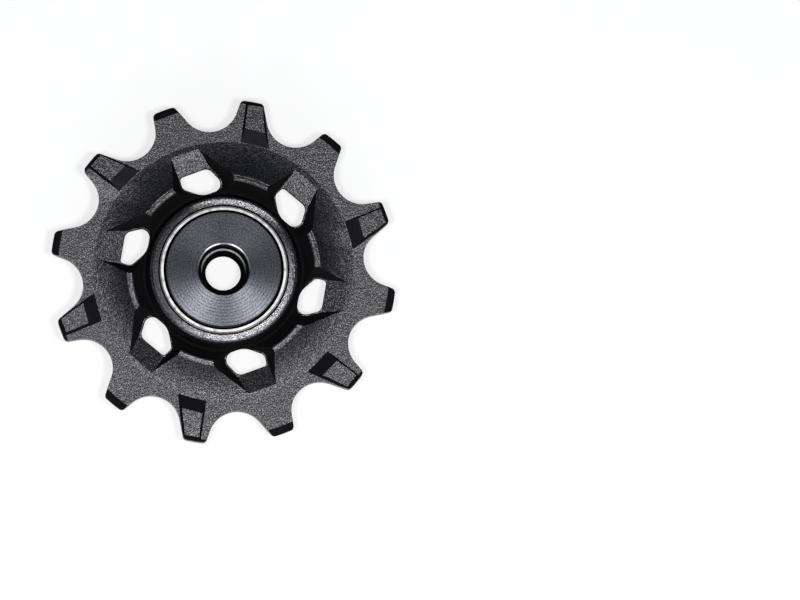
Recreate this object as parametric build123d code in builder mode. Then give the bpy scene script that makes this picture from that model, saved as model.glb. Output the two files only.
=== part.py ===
from build123d import *
import os
from math import acos, atan2, cos, degrees, hypot, pi, radians, sin, tan

# Derailleur jockey wheel: a moulded narrow-wide pulley pressed on a sealed ball bearing,
# which turns on a dust cap's tube and a flanged sleeve. The axle is Z, the mid-plane is
# Z = 0, and the middle of a wide tooth lies on +X. Millimetres and degrees.

# Chain and teeth
tooth_count = 12
chain_pitch = 12.7
roller_diameter = 7.75
seat_radius = 4.25         # roller seat, a little looser than the roller
seat_lag = 0.4             # the seats stand this angle clockwise of the middle of their gaps
lead_flank = 21.0          # slope of a tooth's clockwise flank from its own axis
trail_flank = 10.0         # slope of its counter-clockwise flank
tip_rise = 0.87            # tooth tip above the pitch circle
tip_corner = 0.65
plate_thickness = 1.9
tip_bevel = 1.1            # radial reach of the bevels that thin each tip
tip_edge = 0.5             # thickness left at the tip

# Raised blocks that thicken every second tooth, on both faces
block_rise = 1.0
block_tip_rise = 0.9
block_ramp = 2.0           # radial length of the slope from rim to block top
block_ramp_turn = 4.5      # of that slope about Z, towards the clockwise side
block_foot_inset = 1.5     # foot of that slope inside the root circle
block_bevel = 0.6
block_draft = 20.0
block_trail_tip = 1.34     # counter-clockwise edge at the block's root, from the tooth's axis
block_trail_foot = 1.01
block_lead_tip = 1.67      # clockwise edge
block_lead_foot = 4.23

# Rim, flare, crests of the spokes and the valley round the hub
rim_width = 1.55           # flat rim inside the root circle
flare_break = 8.0          # slope of the flare where it leaves the rim
crest_height = 2.6         # of the spokes' crests above the mid-plane
crest_width = 0.85
crest_bevel = 0.2
valley_height = 0.5        # floor of the valley
valley_width = 0.3
valley_slope = 55.0        # rise of the valley to the crests

# Scoops: a sloped floor under each narrow tooth that runs down to a hole beside the hub
hole_depth = 3.6           # radial, from the hub's foot
scoop_trail = 1.65         # counter-clockwise side beside the hub, from the tooth's axis
scoop_trail_end = 0.8      # the same at the rim
hole_slant = 2.0           # radial reach of the slanted corner there
hole_slant_width = 2.65
scoop_lead = 4.75          # clockwise side beside the hub
scoop_lead_end = 1.5
hole_trail_round = 3.0
hole_slant_round = 1.0
hole_lead_round = 1.2
hole_lip_round = 0.5       # corner of the lip on the counter-clockwise side
hole_lip_lead_round = 1.2
scoop_lead_draft = 38.0
scoop_trail_draft = 30.0
hole_draft = 20.0
scoop_lip = 0.3            # half thickness of the lip over the hole
scoop_slope = 14.5

# Hub
hub_wall = 0.95            # flat land round the bearing
hub_round = 0.45
hub_flare = 0.65           # outward lean of the hub wall, from top to mid-plane
seat_chamfer = 0.12

# Ball bearing, 8 x 19 x 6 mm
bearing_bore = 8.0
bearing_outside = 19.0
bearing_width = 6.0
ball_diameter = 3.175
ball_count = 6
ball_sides = 12
ball_bands = (0.0, 35.0, 70.0)  # latitudes where a ball's facets meet
groove_ratio = 0.52        # groove radius over ball diameter
race_play = 0.07           # of a ball, from the bottom of each groove
shoulder_height = 0.43     # race shoulders above the bottom of their grooves
race_corner = 0.15
seal_seat_wall = 1.0       # outer race beside the seal
seal_seat_depth = 0.9
mouth_chamfer = 0.33

# Cage and seals
cage_wall = 1.9            # radial
cage_seal_gap = 0.25       # from the cage's closed side to the back seal
cage_claws = 0.65          # claws, above the mid-plane
cage_notch = 0.7
pocket_play = 0.06
seal_thickness = 0.4
seal_face_depth = 0.4      # seal face below the race face
seal_lip_gap = 0.05

# Dust cap with its tube, and the flanged sleeve that fills the other end of that tube
axle_bore = 5.2
tube_bore = 7.44
fit = 0.01                 # radial clearance of pressed and pushed-on pieces
cap_gap = 0.35             # from the cap's rim to the mouth of the outer race
cap_thickness = 0.4
cap_lift = 0.15            # cap's disc above the race face, on its boss
cap_boss_wall = 0.9        # boss outside the bearing bore
cap_edge = 0.1
cap_mouth = 0.18           # chamfer of the tube at the cap's face
tube_gap = 0.3             # from the end of the tube to the flange
sleeve_depth = 2.9         # end of the sleeve below the cap's face
sleeve_mouth = 6.7         # diameter of the countersink there
sleeve_countersink = 0.46
sleeve_taper = 1.4         # length of the lead-in from the countersink to the axle bore
flange_mouth = 0.4         # chamfer of the axle bore at the flange

# Derived sizes
pitch_radius = chain_pitch / (2 * sin(pi / tooth_count))
root_radius = pitch_radius - roller_diameter / 2
tip_radius = pitch_radius + tip_rise
tooth_angle = 360 / tooth_count
wide_count = tooth_count // 2
plate_half = plate_thickness / 2
rim_inner = root_radius - rim_width
bearing_radius = bearing_outside / 2
bore_radius = bearing_bore / 2
race_face = bearing_width / 2
hub_top = race_face
hub_land_outer = bearing_radius + hub_wall
hub_foot = hub_land_outer + hub_round + hub_flare
valley_outer = hub_foot + valley_width
crest_inner = valley_outer + (crest_height - valley_height) / tan(radians(valley_slope))
crest_outer = crest_inner + crest_width
cut_height = crest_height + crest_width / 2
ball_radius = ball_diameter / 2
ball_pitch = (bore_radius + bearing_radius) / 2
groove_radius = groove_ratio * ball_diameter
outer_groove = ball_pitch + ball_radius + race_play
inner_groove = ball_pitch - ball_radius - race_play
outer_shoulder = outer_groove - shoulder_height
inner_shoulder = inner_groove + shoulder_height
groove_angle = acos(1 - shoulder_height / groove_radius)
groove_steps = (-groove_angle, -groove_angle / 3, groove_angle / 3, groove_angle)
seal_seat = bearing_radius - seal_seat_wall
race_mouth = seal_seat + mouth_chamfer
cap_radius = race_mouth - cap_gap
cap_under = race_face + cap_lift
cap_face = cap_under + cap_thickness
cap_boss = bore_radius + cap_boss_wall
axle_radius = axle_bore / 2
tube_inner = tube_bore / 2
tube_outer = bore_radius - fit
sleeve_radius = tube_inner - fit
sleeve_top = cap_face - sleeve_depth
cage_base = race_face - seal_face_depth - seal_thickness - cage_seal_gap

os.makedirs("parts", exist_ok=True)


# Outline of the teeth: a disc with a roller seat and two straight flanks cut at every gap
gap_angle = tooth_angle / 2 - seat_lag
flank_length = 2 * (tip_radius - root_radius)
with BuildSketch() as tooth_gap:
    with BuildLine():
        seat_centre = PolarLine((0, 0), root_radius + seat_radius, gap_angle, mode=Mode.PRIVATE) @ 1
        seat_start = 90 + tooth_angle + lead_flank
        seat_arc = CenterArc(seat_centre, seat_radius, seat_start, 270 - trail_flank - seat_start)
        lead_side = PolarLine(seat_arc @ 0, flank_length, tooth_angle + lead_flank)
        trail_side = PolarLine(seat_arc @ 1, flank_length, -trail_flank)
        Line(lead_side @ 1, trail_side @ 1)
    make_face()

with BuildSketch() as tooth_outline:
    Circle(tip_radius)
    with PolarLocations(0, tooth_count):
        add(tooth_gap.sketch, mode=Mode.SUBTRACT)
    tip_corners = [
        corner
        for corner in tooth_outline.vertices()
        if abs(hypot(corner.X, corner.Y) - tip_radius) < fit and abs(corner.Y) > fit
    ]
    fillet(tip_corners, tip_corner)

# One wide tooth's block, upper face, with the tooth's axis on +X. Its slopes run on below the
# rim and past the tip, and beside it the plate keeps its thickness up to the tip. The outline of
# the teeth trims both flush with the flanks.
block_foot = root_radius - block_foot_inset
block_top = block_foot + block_ramp
block_base = tip_edge / 4
block_base_foot = block_foot - (plate_half - block_base) * block_ramp / block_rise
tip_bevel_drop = plate_half + block_tip_rise - tip_edge / 2
block_base_tip = tip_radius + (tip_edge / 2 - block_base) * block_bevel / tip_bevel_drop
block_end = tip_radius + block_rise
ramp_turn = radians(block_ramp_turn)
ramp_out = (cos(ramp_turn), -sin(ramp_turn), 0)
ramp_plane = Plane((0, 0, 0), x_dir=ramp_out, z_dir=(-sin(ramp_turn), -cos(ramp_turn), 0))
with BuildPart() as block:
    with BuildSketch(Plane.XY.offset(block_base)):
        with BuildLine():
            Polyline(
                (block_end, block_trail_tip),
                (block_base_foot, block_trail_foot),
                (block_base_foot, -block_lead_foot),
                (block_end, -block_lead_tip),
                close=True,
            )
        make_face()
    extrude(amount=plate_half + block_rise, taper=block_draft)
    with BuildSketch(ramp_plane):
        with BuildLine():
            Polyline(
                (block_base_foot, block_base),
                (block_top, plate_half + block_rise),
                (block_end, plate_half + block_rise),
                (block_end, block_base),
                close=True,
            )
        make_face()
    extrude(amount=tip_radius, both=True, mode=Mode.INTERSECT)
    with BuildSketch(Plane.XZ):
        with BuildLine():
            Polyline(
                (0, block_base),
                (0, plate_half + block_rise),
                (block_top, plate_half + block_rise),
                (tip_radius - block_bevel, plate_half + block_tip_rise),
                (block_base_tip, block_base),
                close=True,
            )
        make_face()
    extrude(amount=tip_radius, both=True, mode=Mode.INTERSECT)
    with BuildSketch(Plane.XZ):
        with BuildLine():
            Polyline(
                (root_radius, 0),
                (root_radius, plate_half),
                (tip_radius, plate_half),
                (tip_radius, 0),
                close=True,
            )
        make_face()
    extrude(amount=root_radius * sin(pi / tooth_count), both=True)

# One scoop, upper half, with the narrow tooth's axis on +X. Each side has a plan of its own, drafted
# by itself, and both together enclose the scoop: walls, a hole beside the hub and a sloped floor.
hole_outer = hub_foot + hole_depth
slant_end = scoop_trail - (scoop_trail - scoop_trail_end) * hole_slant / (rim_inner - hub_foot)
with BuildSketch() as lead_plan:
    with BuildLine():
        Polyline(
            (hub_foot, rim_inner),
            (rim_inner, rim_inner),
            (rim_inner, -scoop_lead_end),
            (hub_foot, -scoop_lead),
            close=True,
        )
    make_face()
    fillet(lead_plan.vertices().sort_by_distance((hub_foot, -scoop_lead))[0], hole_lead_round)

with BuildSketch() as trail_plan:
    with BuildLine():
        Polyline(
            (hub_foot, scoop_trail - hole_slant_width),
            (hub_foot + hole_slant, slant_end),
            (rim_inner, scoop_trail_end),
            (rim_inner, -rim_inner),
            (hub_foot, -rim_inner),
            close=True,
        )
    make_face()
    fillet(trail_plan.vertices().sort_by_distance((hub_foot, scoop_trail))[0], hole_slant_round)
    slant_start = (hub_foot, scoop_trail - hole_slant_width)
    fillet(trail_plan.vertices().sort_by_distance(slant_start)[0], hole_trail_round)

with BuildSketch() as hole_plan:
    add(lead_plan.sketch)
    add(trail_plan.sketch, mode=Mode.INTERSECT)
    Rectangle(hole_outer, 2 * rim_inner, align=(Align.MIN, Align.CENTER), mode=Mode.INTERSECT)
    fillet(hole_plan.vertices().group_by(Axis.X)[-1].sort_by(Axis.Y)[0], hole_lip_lead_round)
    fillet(hole_plan.vertices().group_by(Axis.X)[-1].sort_by(Axis.Y)[-1], hole_lip_round)

lip_run = scoop_lip * tan(radians(hole_draft))
floor_end_height = scoop_lip + (rim_inner - hole_outer - lip_run) * tan(radians(scoop_slope))
with BuildPart() as scoop:
    with BuildSketch(Plane.XY.offset(cut_height)):
        add(lead_plan.sketch_local)
        offset(amount=cut_height * tan(radians(scoop_lead_draft)), kind=Kind.INTERSECTION)
    extrude(amount=scoop_lip - cut_height, taper=scoop_lead_draft)
    with BuildSketch(Plane.XY.offset(cut_height)):
        add(trail_plan.sketch_local)
        offset(amount=cut_height * tan(radians(scoop_trail_draft)), kind=Kind.INTERSECTION)
    extrude(amount=scoop_lip - cut_height, taper=scoop_trail_draft, mode=Mode.INTERSECT)
    with BuildSketch(Plane.XZ):
        with BuildLine():
            Polyline(
                (0, scoop_lip),
                (hole_outer + lip_run, scoop_lip),
                (rim_inner, floor_end_height),
                (rim_inner, cut_height),
                (0, cut_height),
                close=True,
            )
        make_face()
    extrude(amount=rim_inner, both=True, mode=Mode.INTERSECT)
    with BuildSketch(Plane.XY.offset(scoop_lip)):
        add(hole_plan.sketch_local)
        offset(amount=lip_run, kind=Kind.INTERSECTION)
    extrude(amount=-scoop_lip, taper=hole_draft)

# Moulded pulley: the upper half of the body, its mirror image below, then the teeth and the seat
tip_bevel_run = tip_bevel / (plate_half - tip_edge / 2)
with BuildPart() as pulley_wheel:
    with BuildSketch(Plane.XZ):
        with BuildLine():
            flare = TangentArc(
                (rim_inner, plate_half),
                (crest_outer, crest_height),
                tangent=(-1, tan(radians(flare_break))),
            )
            Polyline(
                flare @ 1,
                (crest_inner + crest_bevel, crest_height),
                (crest_inner, crest_height - crest_bevel / 2),
                (valley_outer, valley_height),
                (0, valley_height),
                (0, 0),
                (tip_radius + tip_bevel_run * tip_edge / 2, 0),
                (tip_radius - tip_bevel, plate_half),
                flare @ 0,
            )
        make_face()
    revolve(axis=Axis.Z)
    with PolarLocations(0, wide_count):
        add(block.part)
    with PolarLocations(0, wide_count, start_angle=tooth_angle):
        add(scoop.part, mode=Mode.SUBTRACT)
    with BuildSketch(Plane.XZ):
        with BuildLine():
            Polyline(
                (0, 0),
                (hub_foot, 0),
                (hub_land_outer + hub_round, hub_top - hub_round),
                (hub_land_outer + hub_round * sin(pi / 4), hub_top - hub_round * (1 - sin(pi / 4))),
                (hub_land_outer, hub_top),
                (0, hub_top),
                close=True,
            )
        make_face()
    revolve(axis=Axis.Z)
    mirror(about=Plane.XY)
    add(tooth_outline.sketch)
    extrude(amount=hub_top, both=True, mode=Mode.INTERSECT)
    with BuildSketch(Plane.XZ):
        with BuildLine():
            Polyline(
                (0, -hub_top),
                (bearing_radius + fit + seat_chamfer, -hub_top),
                (bearing_radius + fit, seat_chamfer - hub_top),
                (bearing_radius + fit, hub_top - seat_chamfer),
                (bearing_radius + fit + seat_chamfer, hub_top),
                (0, hub_top),
                close=True,
            )
        make_face()
    revolve(axis=Axis.Z, mode=Mode.SUBTRACT)
pulley_wheel.part.label = "pulley_wheel"
export_step(pulley_wheel.part, "parts/pulley_wheel.step")

# Bearing races: sections symmetrical about the mid-plane, revolved. The grooves are in three steps.
with BuildPart() as bearing_outer_race:
    upper_side = [
        (outer_shoulder, race_face - seal_seat_depth),
        (seal_seat, race_face - seal_seat_depth),
        (seal_seat, race_face - mouth_chamfer),
        (race_mouth, race_face),
        (bearing_radius - race_corner, race_face),
        (bearing_radius, race_face - race_corner),
    ]
    lower_side = [(across, -along) for across, along in reversed(upper_side)]
    with BuildSketch(Plane.XZ):
        with BuildLine():
            groove_centre = outer_groove - groove_radius
            groove = [
                (groove_centre + groove_radius * cos(step), groove_radius * sin(step))
                for step in groove_steps
            ]
            Polyline(*groove, *upper_side, *lower_side, close=True)
        make_face()
    revolve(axis=Axis.Z)
bearing_outer_race.part.label = "bearing_outer_race"
export_step(bearing_outer_race.part, "parts/bearing_outer_race.step")

with BuildPart() as bearing_inner_race:
    upper_side = [
        (inner_shoulder, race_face),
        (bore_radius + race_corner, race_face),
        (bore_radius, race_face - race_corner),
    ]
    lower_side = [(across, -along) for across, along in reversed(upper_side)]
    with BuildSketch(Plane.XZ):
        with BuildLine():
            groove_centre = inner_groove + groove_radius
            groove = [
                (groove_centre - groove_radius * cos(step), groove_radius * sin(step))
                for step in groove_steps
            ]
            Polyline(*groove, *upper_side, *lower_side, close=True)
        make_face()
    revolve(axis=Axis.Z)
bearing_inner_race.part.label = "bearing_inner_race"
export_step(bearing_inner_race.part, "parts/bearing_inner_race.step")

# Balls, evenly spaced on the pitch circle: hidden in the bearing, so each is faceted in bands
with BuildPart() as ball:
    for low, high in zip(ball_bands, ball_bands[1:]):
        low_reach = ball_radius * cos(radians(low))
        high_reach = ball_radius * cos(radians(high))
        low_height = ball_radius * sin(radians(low))
        band_rise = ball_radius * sin(radians(high)) - low_height
        band_lean = degrees(atan2((low_reach - high_reach) * cos(pi / ball_sides), band_rise))
        with BuildSketch(Plane.XY.offset(low_height)):
            RegularPolygon(low_reach, ball_sides)
        extrude(amount=band_rise, taper=band_lean)
    mirror(about=Plane.XY)

for number, place in enumerate(PolarLocations(ball_pitch, ball_count), start=1):
    with BuildPart() as bearing_ball:
        with Locations(place):
            add(ball.part)
    bearing_ball.part.label = f"bearing_ball_{number}"
    export_step(bearing_ball.part, f"parts/bearing_ball_{number}.step")

# Crown cage: a ring closed below, with a snap-in pocket for each ball and notched claws
with BuildPart() as ball_cage:
    with BuildSketch(Plane.XY.offset(-cage_base)):
        Circle(ball_pitch + cage_wall / 2)
        Circle(ball_pitch - cage_wall / 2, mode=Mode.SUBTRACT)
    extrude(amount=cage_base + cage_claws)
    with PolarLocations(ball_pitch, ball_count):
        Cylinder(ball_radius + pocket_play, 2 * cage_wall, rotation=(0, 90, 0), mode=Mode.SUBTRACT)
    with PolarLocations(ball_pitch, ball_count, start_angle=180 / ball_count):
        Box(2 * cage_wall, cage_notch, 2 * cage_claws, mode=Mode.SUBTRACT)
ball_cage.part.label = "ball_cage"
export_step(ball_cage.part, "parts/ball_cage.step")

# Rubber seals: washers held in the outer race, which reach the inner race
for name, seal_plane in (
    ("bearing_seal_front", Plane.XY.offset(race_face - seal_face_depth - seal_thickness)),
    ("bearing_seal_back", Plane.XY.offset(seal_face_depth - race_face)),
):
    with BuildPart() as bearing_seal:
        with BuildSketch(seal_plane):
            Circle(seal_seat - fit)
            Circle(inner_shoulder + seal_lip_gap, mode=Mode.SUBTRACT)
        extrude(amount=seal_thickness)
    bearing_seal.part.label = name
    export_step(bearing_seal.part, f"parts/{name}.step")

# Sleeve: a broad flange behind, with a short tube round the axle that fills the cap's tube
with BuildPart() as flanged_sleeve:
    mouth_radius = sleeve_mouth / 2
    with BuildSketch(Plane.XZ):
        with BuildLine():
            Polyline(
                (axle_radius, flange_mouth - cap_face),
                (axle_radius + flange_mouth, -cap_face),
                (cap_radius - cap_edge, -cap_face),
                (cap_radius, cap_edge - cap_face),
                (cap_radius, -cap_under),
                (cap_boss, -cap_under),
                (cap_boss, -race_face),
                (sleeve_radius, -race_face),
                (sleeve_radius, sleeve_top),
                (mouth_radius, sleeve_top),
                (mouth_radius - sleeve_countersink, sleeve_top - sleeve_countersink),
                (axle_radius, sleeve_top - sleeve_countersink - sleeve_taper),
                close=True,
            )
        make_face()
    revolve(axis=Axis.Z)
flanged_sleeve.part.label = "flanged_sleeve"
export_step(flanged_sleeve.part, "parts/flanged_sleeve.step")

# Dust cap: a turned disc whose tube fills the bore of the bearing
with BuildPart() as dust_cap:
    with BuildSketch(Plane.XZ):
        with BuildLine():
            Polyline(
                (tube_inner, tube_gap - race_face),
                (tube_outer, tube_gap - race_face),
                (tube_outer, race_face),
                (cap_boss, race_face),
                (cap_boss, cap_under),
                (cap_radius, cap_under),
                (cap_radius, cap_face - cap_edge),
                (cap_radius - cap_edge, cap_face),
                (tube_inner + cap_mouth, cap_face),
                (tube_inner, cap_face - cap_mouth),
                close=True,
            )
        make_face()
    revolve(axis=Axis.Z)
dust_cap.part.label = "dust_cap"
export_step(dust_cap.part, "parts/dust_cap.step")
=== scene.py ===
import bpy
from math import cos, pi, radians, sin, tan
from mathutils import Matrix, Vector


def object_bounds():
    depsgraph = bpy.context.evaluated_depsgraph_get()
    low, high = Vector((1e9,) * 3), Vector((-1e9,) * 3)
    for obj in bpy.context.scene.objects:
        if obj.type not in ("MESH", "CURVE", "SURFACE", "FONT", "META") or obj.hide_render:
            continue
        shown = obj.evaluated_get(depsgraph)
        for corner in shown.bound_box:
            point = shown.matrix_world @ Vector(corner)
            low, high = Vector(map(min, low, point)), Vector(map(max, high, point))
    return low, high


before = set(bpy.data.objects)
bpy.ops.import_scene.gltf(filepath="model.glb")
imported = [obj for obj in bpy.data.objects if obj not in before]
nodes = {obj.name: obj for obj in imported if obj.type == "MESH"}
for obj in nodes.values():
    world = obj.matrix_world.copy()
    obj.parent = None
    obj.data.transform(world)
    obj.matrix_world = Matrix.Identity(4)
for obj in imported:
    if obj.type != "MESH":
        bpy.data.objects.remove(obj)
cad_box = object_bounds()
scene = bpy.context.scene
scene.view_settings.view_transform = "Standard"

MM = 0.001


# Shader helpers

def material(name, colour, metallic, roughness):
    """A new Principled material: (material, node tree, shader node)."""
    mat = bpy.data.materials.new(name)
    mat.use_nodes = True
    shader = mat.node_tree.nodes["Principled BSDF"]
    shader.inputs["Base Color"].default_value = (*colour, 1)
    shader.inputs["Metallic"].default_value = metallic
    shader.inputs["Roughness"].default_value = roughness
    return mat, mat.node_tree, shader


def object_coords(tree):
    return tree.nodes.new("ShaderNodeTexCoord").outputs["Object"]


def axle_reach(tree, coords):
    """Distance from the Z axis, in metres."""
    flat = tree.nodes.new("ShaderNodeVectorMath")
    flat.operation = "MULTIPLY"
    flat.inputs[1].default_value = (1, 1, 0)
    tree.links.new(coords, flat.inputs[0])
    reach = tree.nodes.new("ShaderNodeVectorMath")
    reach.operation = "LENGTH"
    tree.links.new(flat.outputs["Vector"], reach.inputs[0])
    return reach.outputs["Value"]


def along(tree, coords, angle):
    """Distance from the Z axis towards that angle about it, in metres."""
    node = tree.nodes.new("ShaderNodeVectorMath")
    node.operation = "DOT_PRODUCT"
    node.inputs[1].default_value = (cos(radians(angle)), sin(radians(angle)), 0)
    tree.links.new(coords, node.inputs[0])
    return node.outputs["Value"]


def uprightness(tree):
    """How nearly a face looks along the Z axis: 1 for a flat face, 0 for a wall."""
    coords = tree.nodes.new("ShaderNodeTexCoord")
    parts = tree.nodes.new("ShaderNodeSeparateXYZ")
    tree.links.new(coords.outputs["Normal"], parts.inputs["Vector"])
    node = tree.nodes.new("ShaderNodeMath")
    node.operation = "ABSOLUTE"
    tree.links.new(parts.outputs["Z"], node.inputs[0])
    return node.outputs["Value"]


def noise(tree, coords, grain, detail=2.0, rough=0.5):
    """Noise whose grains are about that many metres across."""
    node = tree.nodes.new("ShaderNodeTexNoise")
    node.inputs["Scale"].default_value = 1 / grain
    node.inputs["Detail"].default_value = detail
    node.inputs["Roughness"].default_value = rough
    tree.links.new(coords, node.inputs["Vector"])
    return node.outputs["Fac"]


def feed_rings(tree, coords, pitch):
    """Even rings of a turning tool round the Z axis."""
    node = tree.nodes.new("ShaderNodeTexWave")
    node.wave_type = "RINGS"
    node.rings_direction = "Z"
    node.inputs["Scale"].default_value = pi / (10 * pitch)
    node.inputs["Distortion"].default_value = 0.6
    node.inputs["Detail"].default_value = 1.0
    tree.links.new(coords, node.inputs["Vector"])
    return node.outputs["Fac"]


def turned_lines(tree, reach, pitch):
    """Fine uneven tool marks round the Z axis."""
    node = tree.nodes.new("ShaderNodeTexNoise")
    node.noise_dimensions = "1D"
    node.inputs["Scale"].default_value = 1 / pitch
    node.inputs["Detail"].default_value = 3.0
    tree.links.new(reach, node.inputs["W"])
    return node.outputs["Fac"]


def spread(tree, value, low, high, to_low, to_high):
    """The value's stretch from low to high, mapped to the other two numbers and held beyond them."""
    node = tree.nodes.new("ShaderNodeMapRange")
    node.inputs["From Min"].default_value = low
    node.inputs["From Max"].default_value = high
    node.inputs["To Min"].default_value = to_low
    node.inputs["To Max"].default_value = to_high
    tree.links.new(value, node.inputs["Value"])
    return node.outputs["Result"]


def past(tree, value, start, end):
    """A mask that rises from 0 to 1 between start and end."""
    return spread(tree, value, start, end, 0.0, 1.0)


def short_of(tree, value, start, end):
    """A mask that falls from 1 to 0 between start and end."""
    return spread(tree, value, start, end, 1.0, 0.0)


def combined(tree, operation, first, second, clamp=False):
    """Math node on a socket and a second socket or number."""
    node = tree.nodes.new("ShaderNodeMath")
    node.operation = operation
    node.use_clamp = clamp
    tree.links.new(first, node.inputs[0])
    if isinstance(second, float):
        node.inputs[1].default_value = second
    else:
        tree.links.new(second, node.inputs[1])
    return node.outputs["Value"]


def times(tree, first, second):
    return combined(tree, "MULTIPLY", first, second)


def about_middle(tree, texture, share):
    """A texture's swing about its middle value, times that share."""
    return times(tree, combined(tree, "SUBTRACT", texture, 0.5), share)


def ramp(tree, value, low, high, dark, light):
    """A colour ramp from dark at low to light at high."""
    node = tree.nodes.new("ShaderNodeValToRGB")
    node.color_ramp.elements[0].position = low
    node.color_ramp.elements[0].color = (*dark, 1)
    node.color_ramp.elements[1].position = high
    node.color_ramp.elements[1].color = (*light, 1)
    tree.links.new(value, node.inputs["Fac"])
    return node.outputs["Color"]


def mixed(tree, share, first, second):
    """Colour that runs from the first, a colour or a socket, to the second socket's as share rises to 1."""
    node = tree.nodes.new("ShaderNodeMix")
    node.data_type = "RGBA"
    tree.links.new(share, node.inputs["Factor"])
    if isinstance(first, tuple):
        node.inputs["A"].default_value = (*first, 1)
    else:
        tree.links.new(first, node.inputs["A"])
    tree.links.new(second, node.inputs["B"])
    return node.outputs["Result"]


def bump(tree, height, depth, under=None, strength=1.0):
    """Normals of a height field that many metres deep, over those of an earlier bump."""
    node = tree.nodes.new("ShaderNodeBump")
    node.inputs["Distance"].default_value = depth
    node.inputs["Strength"].default_value = strength
    tree.links.new(height, node.inputs["Height"])
    if under is not None:
        tree.links.new(under, node.inputs["Normal"])
    return node.outputs["Normal"]


def radial_tangent(tree, shader):
    node = tree.nodes.new("ShaderNodeTangent")
    node.direction_type = "RADIAL"
    node.axis = "Z"
    tree.links.new(node.outputs["Tangent"], shader.inputs["Tangent"])


# Moulded nylon of the pulley. Radii are where one look ends and the next has begun.

LAND = (9.4 * MM, 10.6 * MM)               # the hub's flat land, inside and outside
LAND_EDGE = (10.5 * MM, 10.65 * MM)
HUB_EDGE = (10.75 * MM, 11.0 * MM)
VALLEY_END = (12.2 * MM, 12.4 * MM)
CREST = (12.95 * MM, 14.05 * MM)           # the spokes' crests, inside and outside
CREST_START = (12.8 * MM, 13.1 * MM)
CREST_END = (13.9 * MM, 14.3 * MM)
RIM_START = (19.1 * MM, 19.25 * MM)
TOOTH_START = (19.5 * MM, 19.7 * MM)
TIP_BEVEL_START = (24.95 * MM, 25.05 * MM)
LAND_HIGHLIGHT_SIDE = 285.0                        # the land gets a painted highlight towards these two angles about Z
LAND_HIGHLIGHT_TOP = 58.0
GRAIN = 0.195 * MM
BLOTCH = 0.7 * MM
CROWN_DEPTH = 0.08 * MM
BLOTCH_DEPTH = 0.06 * MM
GRAIN_DEPTH = 0.06 * MM
EDGE_SHARPNESS = 25.0                      # of the change from a grained face to a smooth slope painted as shade


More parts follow.
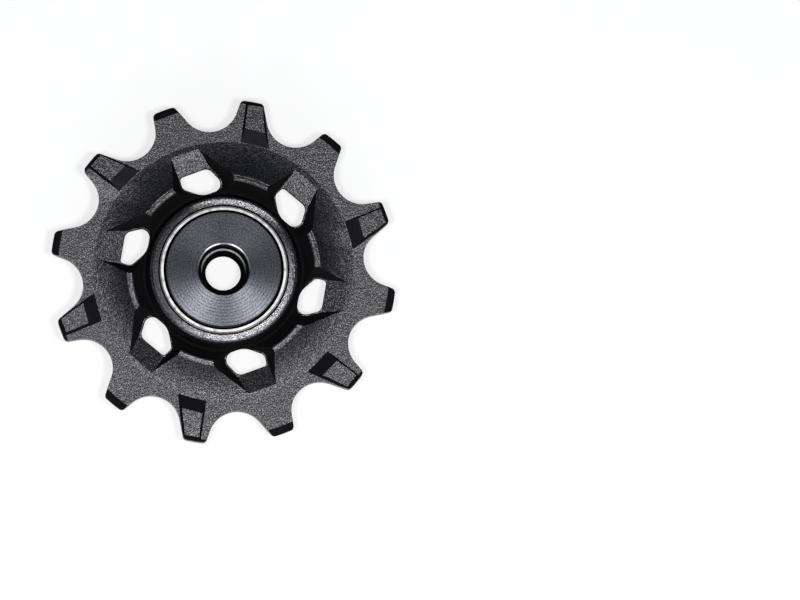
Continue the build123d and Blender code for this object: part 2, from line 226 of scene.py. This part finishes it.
def moulded_nylon():
    """Grained faces, and walls, bevels, ramps and the valley between them painted as shade, smooth and
    black; and a painted highlight on one side of the hub's land.
    """
    mat, tree, shader = material("moulded_nylon", (0.008, 0.008, 0.009), 0.0, 0.45)
    shader.inputs["IOR"].default_value = 1.6
    shader.inputs["Specular Tint"].default_value = (0.95, 0.94, 1.0, 1)
    at = object_coords(tree)
    reach = axle_reach(tree, at)
    upright = uprightness(tree)
    grain = noise(tree, at, GRAIN, 1.5, 0.6)
    blotches = noise(tree, at, BLOTCH, 3.0)

    # Where the faces are grained and lit. Slopes, the valley and the tips' bevels are painted as shade:
    # plain black, without grain, and without shine except on the teeth's flanks
    steepest = spread(tree, reach, *RIM_START, 0.80, 0.92)
    unshaded_face = combined(
        tree, "MULTIPLY", combined(tree, "SUBTRACT", upright, steepest), EDGE_SHARPNESS, clamp=True)
    in_light = combined(tree, "MAXIMUM", past(tree, reach, *VALLEY_END), short_of(tree, reach, *HUB_EDGE))
    in_light = times(tree, in_light, short_of(tree, reach, *TIP_BEVEL_START))
    lit_grained = times(tree, unshaded_face, in_light)
    flecks = ramp(tree, grain, 0.40, 0.66, (0.002, 0.002, 0.0025), (0.016, 0.016, 0.017))
    tree.links.new(mixed(tree, lit_grained, (0.006, 0.006, 0.0065), flecks), shader.inputs["Base Color"])

    # Where the hub's land gets a painted highlight: more shine and less roughness towards two sides, and
    # less shine on the rest of the land
    land = short_of(tree, reach, *LAND_EDGE)
    to_top = along(tree, at, LAND_HIGHLIGHT_TOP)
    highlight_side = past(tree, along(tree, at, LAND_HIGHLIGHT_SIDE), 1.0 * MM, 9.0 * MM)
    highlight_top = spread(tree, to_top, 7.5 * MM, 9.5 * MM, 0.0, 0.65)
    painted_highlight = times(tree, land, combined(tree, "MAXIMUM", highlight_side, highlight_top))
    land_off_highlight = combined(tree, "SUBTRACT", land, painted_highlight)

    # Shine
    facing = spread(tree, upright, 0.84, 0.96, 0.55, 1.0)
    level = times(tree, spread(tree, grain, 0.42, 0.60, 0.04, 0.80), facing)
    level = times(tree, level, spread(tree, land_off_highlight, 0.0, 1.0, 1.0, 0.6))
    level = combined(tree, "ADD", level, times(tree, painted_highlight, 0.9))
    crest = times(tree, spread(tree, reach, *CREST_START, 0.0, 0.3), short_of(tree, reach, *CREST_END))
    level = combined(tree, "ADD", level, crest, clamp=True)
    gloss = times(tree, level, lit_grained)
    sheen = times(tree, spread(tree, upright, 0.85, 0.93, 0.0, 0.22), in_light)
    flank = times(tree, spread(tree, upright, 0.1, 0.25, 0.2, 0.0), past(tree, reach, *TOOTH_START))
    shine = combined(tree, "MAXIMUM", combined(tree, "MAXIMUM", gloss, sheen), flank)
    tree.links.new(shine, shader.inputs["Specular IOR Level"])
    rough = combined(
        tree, "SUBTRACT", spread(tree, blotches, 0.3, 0.7, 0.33, 0.41), times(tree, painted_highlight, 0.16))
    tree.links.new(rough, shader.inputs["Roughness"])

    # Bumps: the land leans outwards, or inwards on its top side, and the crests are rounded
    across_land = spread(tree, reach, *LAND, -1.0, 1.0)
    bowed = times(tree, times(tree, across_land, across_land), 0.5)
    lean = spread(tree, to_top, 7.0 * MM, 9.8 * MM, -1.0, 1.0)
    fall = times(tree, combined(tree, "ADD", bowed, across_land), lean)
    across_crest = spread(tree, reach, *CREST, -1.0, 1.0)
    fall = combined(tree, "SUBTRACT", fall, times(tree, across_crest, across_crest))
    crown = bump(tree, fall, CROWN_DEPTH)
    uneven = bump(tree, blotches, BLOTCH_DEPTH, crown)
    tree.links.new(bump(tree, times(tree, grain, lit_grained), GRAIN_DEPTH, uneven), shader.inputs["Normal"])
    return mat


# Turned and anodised metal of the cap and the sleeve

COUNTERSINK_START = (3.08 * MM, 3.16 * MM)   # the sleeve's countersink, inside the tube
TUBE_MOUTH_START = (3.36 * MM, 3.44 * MM)
FACE_START = (3.71 * MM, 3.74 * MM)
TUBE_MOUTH_END = (4.2 * MM, 4.4 * MM)
FACE_END = (8.36 * MM, 8.42 * MM)
MARK_PITCH = 0.20 * MM
FEED_PITCH = 0.46 * MM
SPECK = 0.17 * MM
SPECK_DEPTH = 0.014 * MM
FEED_DEPTH = 0.004 * MM
FACE_DIP = -0.09                             # slope of the face from its middle to its rim
BEVEL_HIGHLIGHT_SIDE = 70.0                             # the bevels are painted bare and bright towards this angle about Z, a painted highlight
RING_HIGHLIGHT_SIDE = 250.0                           # and the feed rings are painted clearest towards this one, where the highlight falls


def turned_anodised():
    """A turned face that dips slightly to its rim, and bevels painted bare and bright on one side as a
    highlight, round a bore and recesses painted as shade, black.
    """
    mat, tree, shader = material("turned_black_anodised", (0.06, 0.065, 0.075), 1.0, 0.34)
    shader.inputs["Specular IOR Level"].default_value = 0.0
    at = object_coords(tree)
    reach = axle_reach(tree, at)
    upright = uprightness(tree)
    marks = turned_lines(tree, reach, MARK_PITCH)
    rings = feed_rings(tree, at, FEED_PITCH)
    specks = noise(tree, at, SPECK)

    # Where the metal shows: the face, and the bevels on one side, painted bare as a highlight. Elsewhere
    # the metal is painted as shade.
    face = times(tree, past(tree, reach, *FACE_START), short_of(tree, reach, *FACE_END))
    leaning = times(tree, past(tree, upright, 0.3, 0.5), short_of(tree, upright, 0.80, 0.86))
    lip = times(tree, past(tree, reach, *COUNTERSINK_START), short_of(tree, reach, *TUBE_MOUTH_END))
    bevel_lit_side = past(tree, along(tree, at, BEVEL_HIGHLIGHT_SIDE), -0.4 * MM, 1.8 * MM)
    lit_bevel = times(tree, times(tree, leaning, lip), bevel_lit_side)
    lit_metal = combined(tree, "MAXIMUM", face, lit_bevel)
    tree.links.new(lit_metal, shader.inputs["Metallic"])
    tree.links.new(spread(tree, face, 0.0, 1.0, 0.58, 0.34), shader.inputs["Roughness"])
    tree.links.new(spread(tree, face, 0.0, 1.0, 0.0, 0.75), shader.inputs["Anisotropic"])
    shader.inputs["Anisotropic Rotation"].default_value = 0.25
    radial_tangent(tree, shader)

    # Colour: specks and tool marks, whose rings are painted clearer on the side where the highlight falls
    ring_highlight = spread(tree, along(tree, at, RING_HIGHLIGHT_SIDE), -1.0 * MM, 4.0 * MM, 0.05, 0.15)
    feed = about_middle(tree, rings, ring_highlight)
    tone = combined(tree, "ADD", specks, combined(tree, "ADD", feed, about_middle(tree, marks, 0.15)))
    turned = ramp(tree, tone, 0.34, 0.66, (0.022, 0.0235, 0.027), (0.103, 0.108, 0.120))
    speckled_highlight = ramp(tree, specks, 0.3, 0.7, (0.62, 0.62, 0.65), (0.86, 0.86, 0.88))
    highlight_colour = mixed(tree, past(tree, reach, *TUBE_MOUTH_START), (0.75, 0.75, 0.78), speckled_highlight)
    worked = mixed(tree, lit_bevel, turned, highlight_colour)
    # Outside the face and the lit bevels: painted shade, near black, not metal and without shine.
    tree.links.new(mixed(tree, lit_metal, (0.004, 0.004, 0.005), worked), shader.inputs["Base Color"])

    fine = bump(tree, specks, SPECK_DEPTH)
    lines = bump(tree, rings, FEED_DEPTH, fine)
    dip = times(tree, reach, FACE_DIP / MM)
    tree.links.new(bump(tree, dip, MM, lines), shader.inputs["Normal"])
    return mat


# Steel, cage and seals of the bearing

INNER_RACE_FACE_END = (6.0 * MM, 6.2 * MM)
OUTER_RACE_FACE_START = (8.80 * MM, 8.84 * MM)
SHADE_LINE_START = (9.16 * MM, 9.20 * MM)     # painted shade: a dark line near the outer race's corner
SHADE_LINE_END = (9.24 * MM, 9.30 * MM)
GRINDING_PITCH = 0.08 * MM


def ground_steel():
    """Ground faces, with painted shade inside the mouth that holds the seal and on the outer race's corner.
    """
    mat, tree, shader = material("ground_steel", (0.60, 0.59, 0.57), 1.0, 0.30)
    at = object_coords(tree)
    reach = axle_reach(tree, at)
    marks = turned_lines(tree, reach, GRINDING_PITCH)
    # Between the inner race's face and the outer race's face, in the mouth, the steel is painted shade,
    # near black; so is the outer race's corner: a dark line, then darker steel.
    outer_face = past(tree, reach, *OUTER_RACE_FACE_START)
    inner_face = short_of(tree, reach, *INNER_RACE_FACE_END)
    unshaded_face = combined(tree, "MAXIMUM", outer_face, inner_face)
    before_line = short_of(tree, reach, *SHADE_LINE_START)
    behind_line = spread(tree, reach, *SHADE_LINE_END, 0.0, 0.4)
    outside_shade_line = combined(tree, "MAXIMUM", before_line, behind_line)
    ground = ramp(tree, marks, 0.3, 0.7, (0.32, 0.315, 0.31), (0.50, 0.495, 0.49))
    colour = mixed(tree, times(tree, unshaded_face, outside_shade_line), (0.02, 0.02, 0.02), ground)
    tree.links.new(colour, shader.inputs["Base Color"])
    smears = noise(tree, at, 0.8 * MM)
    tree.links.new(spread(tree, smears, 0.3, 0.7, 0.25, 0.38), shader.inputs["Roughness"])
    tree.links.new(bump(tree, marks, 0.004 * MM, strength=0.4), shader.inputs["Normal"])
    return mat


def polished_steel():
    mat, tree, shader = material("polished_steel", (0.82, 0.81, 0.80), 1.0, 0.08)
    at = object_coords(tree)
    smears = noise(tree, at, 0.6 * MM, 3.0)
    tree.links.new(spread(tree, smears, 0.35, 0.7, 0.05, 0.14), shader.inputs["Roughness"])
    tree.links.new(bump(tree, noise(tree, at, 0.3 * MM), 0.001 * MM, strength=0.3), shader.inputs["Normal"])
    return mat


def cage_nylon():
    mat, tree, shader = material("cage_nylon", (0.20, 0.13, 0.07), 0.0, 0.45)
    at = object_coords(tree)
    clouds = noise(tree, at, 0.5 * MM, 3.0)
    colour = ramp(tree, clouds, 0.3, 0.7, (0.16, 0.10, 0.05), (0.25, 0.17, 0.10))
    tree.links.new(colour, shader.inputs["Base Color"])
    tree.links.new(bump(tree, noise(tree, at, 0.15 * MM), 0.01 * MM, strength=0.4), shader.inputs["Normal"])
    return mat


def seal_rubber():
    mat, tree, shader = material("seal_rubber", (0.012, 0.012, 0.012), 0.0, 0.7)
    at = object_coords(tree)
    clouds = noise(tree, at, 0.3 * MM, 3.0)
    colour = ramp(tree, clouds, 0.3, 0.7, (0.008, 0.008, 0.008), (0.018, 0.018, 0.019))
    tree.links.new(colour, shader.inputs["Base Color"])
    tree.links.new(bump(tree, noise(tree, at, 0.1 * MM), 0.006 * MM, strength=0.5), shader.inputs["Normal"])
    return mat


def dress(mat, *names):
    for name in names:
        mesh = nodes[name].data
        mesh.materials.clear()
        mesh.materials.append(mat)


dress(moulded_nylon(), "pulley_wheel")
dress(turned_anodised(), "flanged_sleeve", "dust_cap")
dress(ground_steel(), "bearing_outer_race", "bearing_inner_race")
dress(polished_steel(), *[name for name in nodes if name.startswith("bearing_ball_")])
dress(cage_nylon(), "ball_cage")
dress(seal_rubber(), "bearing_seal_front", "bearing_seal_back")


# Camera: looks down the axle, a little from the lower left of the picture

PICTURE_RIGHT = -20.3      # direction of the picture's right edge about Z
TILT_DOWN = 6.3
TILT_LEFT = 1.2
DISTANCE = 1.4
SENSOR = 36.0
FRAME_WIDTH = 117.5 * MM
WHEEL_LEFT = 25.96 * MM    # the wheel's centre from the middle of the picture
WHEEL_UP = 4.035 * MM


def flat_direction(angle):
    return Vector((cos(radians(angle)), sin(radians(angle)), 0))


right = flat_direction(PICTURE_RIGHT)
up = flat_direction(PICTURE_RIGHT + 90)


def tilted(way, tilt_down, tilt_right):
    """A direction turned by those angles towards the picture's bottom and right."""
    return (way - up * tan(radians(tilt_down)) + right * tan(radians(tilt_right))).normalized()


def aimed(place, target, roll_up):
    """A matrix at place that looks at target, with roll_up upright in the picture."""
    back = (place - target).normalized()
    across = roll_up.cross(back).normalized()
    upright = back.cross(across)
    turn = Matrix((across, upright, back)).transposed()
    return Matrix.Translation(place) @ turn.to_4x4()


towards_camera = tilted(Vector((0, 0, 1)), TILT_DOWN, -TILT_LEFT)
camera_data = bpy.data.cameras.new("camera")
camera_data.sensor_width = SENSOR
camera_data.lens = SENSOR * DISTANCE / FRAME_WIDTH
camera_data.clip_start = 0.05
camera_data.clip_end = 20
camera = bpy.data.objects.new("camera", camera_data)
scene.collection.objects.link(camera)
camera.matrix_world = aimed(towards_camera * DISTANCE, right * WHEEL_LEFT - up * WHEEL_UP, up)
scene.camera = camera


# Floor

FLOOR_GAP = 0.02 * MM      # below the part
FLOOR_REACH = 3.0
FLOOR_COLOUR = (0.94, 0.94, 0.94, 1)
PAPER_WHITE = (0.99, 0.99, 0.99, 1)
WHITE_SHARE = 0.66         # of the floor as seen, the rest shows the light and the shadow on it


def pale_floor():
    """A pale floor that is whitened for the camera and in reflections, and casts no more light for it."""
    mat = bpy.data.materials.new("pale_floor")
    mat.use_nodes = True
    tree = mat.node_tree
    tree.nodes.clear()
    out = tree.nodes.new("ShaderNodeOutputMaterial")
    matt = tree.nodes.new("ShaderNodeBsdfDiffuse")
    matt.inputs["Color"].default_value = FLOOR_COLOUR
    glow = tree.nodes.new("ShaderNodeEmission")
    glow.inputs["Color"].default_value = PAPER_WHITE
    glow.inputs["Strength"].default_value = 1.0
    path = tree.nodes.new("ShaderNodeLightPath")
    seen = combined(tree, "MAXIMUM", path.outputs["Is Camera Ray"], path.outputs["Is Glossy Ray"])
    seen = combined(tree, "MAXIMUM", seen, path.outputs["Is Transmission Ray"])
    mix = tree.nodes.new("ShaderNodeMixShader")
    tree.links.new(times(tree, seen, WHITE_SHARE), mix.inputs["Fac"])
    tree.links.new(matt.outputs["BSDF"], mix.inputs[1])
    tree.links.new(glow.outputs["Emission"], mix.inputs[2])
    tree.links.new(mix.outputs["Shader"], out.inputs["Surface"])
    return mat


floor_height = cad_box[0][2] - FLOOR_GAP
corners = [(-1, -1), (1, -1), (1, 1), (-1, 1)]
floor_mesh = bpy.data.meshes.new("floor")
floor_mesh.from_pydata(
    [(x * FLOOR_REACH, y * FLOOR_REACH, floor_height) for x, y in corners], [], [(0, 1, 2, 3)])
floor_mesh.materials.append(pale_floor())
floor = bpy.data.objects.new("floor", floor_mesh)
scene.collection.objects.link(floor)


# Light: two small lamps beside the camera, two large weak ones low in front, and a dim world

KEY_TILT_DOWN = 3.0
KEY_TILTS_RIGHT = {"key_left": -8.2, "key_right": 14.2}
KEY_DISTANCE = 0.45
KEY_SIZE = 0.075
KEY_POWER = 0.95
LOW_TILT_DOWN = 70
LOW_TILTS_RIGHT = {"low_left": -60, "low_right": 60}
LOW_DISTANCE = 0.5
LOW_SIZE = 0.34
LOW_POWER = 0.9
WORLD_COLOUR = (0.070, 0.084, 0.115, 1)


def softbox(name, tilt_down, tilt_right, distance, size, power):
    """A round area light that shines on the wheel, at those tilts from the camera."""
    data = bpy.data.lights.new(name, "AREA")
    data.shape = "DISK"
    data.size = size
    data.energy = power
    light = bpy.data.objects.new(name, data)
    scene.collection.objects.link(light)
    way = tilted(towards_camera, tilt_down, tilt_right)
    light.matrix_world = aimed(way * distance, Vector((0, 0, 0)), up)


for name, tilt_right in KEY_TILTS_RIGHT.items():
    softbox(name, KEY_TILT_DOWN, tilt_right, KEY_DISTANCE, KEY_SIZE, KEY_POWER)
for name, tilt_right in LOW_TILTS_RIGHT.items():
    softbox(name, LOW_TILT_DOWN, tilt_right, LOW_DISTANCE, LOW_SIZE, LOW_POWER)

world = bpy.data.worlds.new("studio")
world.use_nodes = True
backdrop = world.node_tree.nodes["Background"]
backdrop.inputs["Color"].default_value = WORLD_COLOUR
backdrop.inputs["Strength"].default_value = 1.0
scene.world = world
